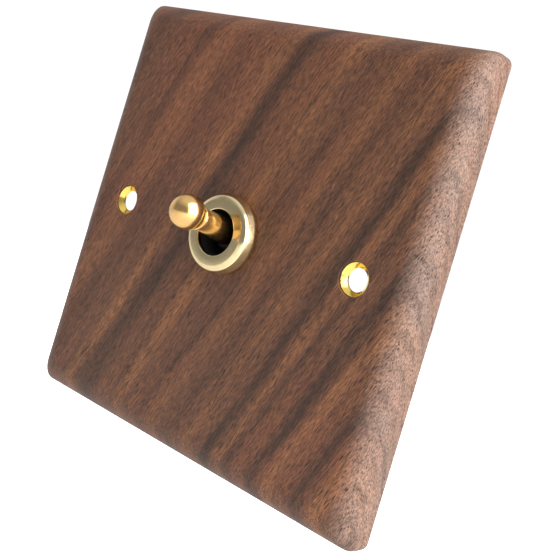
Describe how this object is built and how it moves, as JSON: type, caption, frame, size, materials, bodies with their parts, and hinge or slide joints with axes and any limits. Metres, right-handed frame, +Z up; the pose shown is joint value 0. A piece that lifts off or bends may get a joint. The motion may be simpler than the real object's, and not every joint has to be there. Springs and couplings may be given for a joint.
{
  "type": "toggle wall switch",
  "caption": "Square wooden face plate with a brass ball-ended toggle in a round collar, cupped fixing holes and a two-way switch with screw terminals behind.",
  "frame": {"origin": "centre of the face plate, in the plane of its back edge, which lies on the wall", "axes": "+X to the right seen from the room, +Y into the wall (the switch faces -Y), +Z up"},
  "size_m": [0.086, 0.0415, 0.086],
  "materials": {
    "walnut": "oiled walnut, open pores, satin",
    "polished_brass": "polished and lacquered",
    "yellow_brass": "bright turned brass",
    "turned_brass": "machined, unpolished",
    "strip_brass": "rolled and stamped",
    "zinc_steel": "bright zinc plated sheet",
    "spring_steel": "drawn wire",
    "pin_steel": "ground pin",
    "silver_tip": "silver alloy, pressed",
    "black_moulding": "phenolic moulding, satin black",
    "black_nylon": "black nylon",
    "fibre_card": "pressed fibre card"
  },
  "bodies": {
    "switch_body": {"backing_plate": "zinc_steel", "bush_liner": "black_nylon", "bush_nut": "turned_brass", "collar_ring": "polished_brass", "common_bridge": "strip_brass", "common_terminal": "turned_brass", "earth_terminal": "turned_brass", "face_plate": "walnut", "insulating_card": "fibre_card", "line_one_contact": "silver_tip", "line_one_strip": "strip_brass", "line_one_terminal": "turned_brass", "line_two_contact": "silver_tip", "line_two_strip": "strip_brass", "line_two_terminal": "turned_brass", "lock_washer": "zinc_steel", "pivot_pin": "pin_steel", "screw_cup_left": "yellow_brass", "screw_cup_right": "yellow_brass", "switch_frame": "zinc_steel", "terminal_base": "black_moulding", "threaded_bush": "turned_brass"},
    "lever": {"toggle_lever": "polished_brass", "lever_cradle": "black_nylon", "plunger_spring": "spring_steel"},
    "plunger": {"plunger": "black_nylon"},
    "rocker": {"rocker_contact": "strip_brass", "rocker_tips": "silver_tip"},
    "common_screw": {"common_screw": "zinc_steel"},
    "line_one_screw": {"line_one_screw": "zinc_steel"},
    "line_two_screw": {"line_two_screw": "zinc_steel"},
    "earth_screw": {"earth_screw": "zinc_steel"}
  },
  "joints": [
    {"name": "lever_tilt", "type": "hinge", "parent": "switch_body", "child": "lever", "pos_m": [0, -0.005, 0], "axis": [1, 0, 0], "range_deg": [0, 18]},
    {"name": "rocker_tilt", "type": "hinge", "parent": "switch_body", "child": "rocker", "pos_m": [0, 0.011, 0], "axis": [1, 0, 0], "range_deg": [-16, 0]},
    {"name": "plunger_slide", "type": "slide", "parent": "lever", "child": "plunger", "axis": [0, -0.9877, 0.1564], "range_m": [0, 0.0004], "stiffness_N_per_m": 500, "springref_m": -0.001, "deforming": ["plunger_spring"]},
    {"name": "common_screw_travel", "type": "slide", "parent": "switch_body", "child": "common_screw", "axis": [0, -1, 0], "range_m": [0, 0.0018]},
    {"name": "line_one_screw_travel", "type": "slide", "parent": "switch_body", "child": "line_one_screw", "axis": [0, -1, 0], "range_m": [0, 0.0018]},
    {"name": "line_two_screw_travel", "type": "slide", "parent": "switch_body", "child": "line_two_screw", "axis": [0, -1, 0], "range_m": [0, 0.0018]},
    {"name": "earth_screw_travel", "type": "slide", "parent": "switch_body", "child": "earth_screw", "axis": [0, -1, 0], "range_m": [0, 0.0018]}
  ],
  "couplings": [
    {"joint": "rocker_tilt", "follows": "lever_tilt", "ratio": -0.88889}
  ]
}
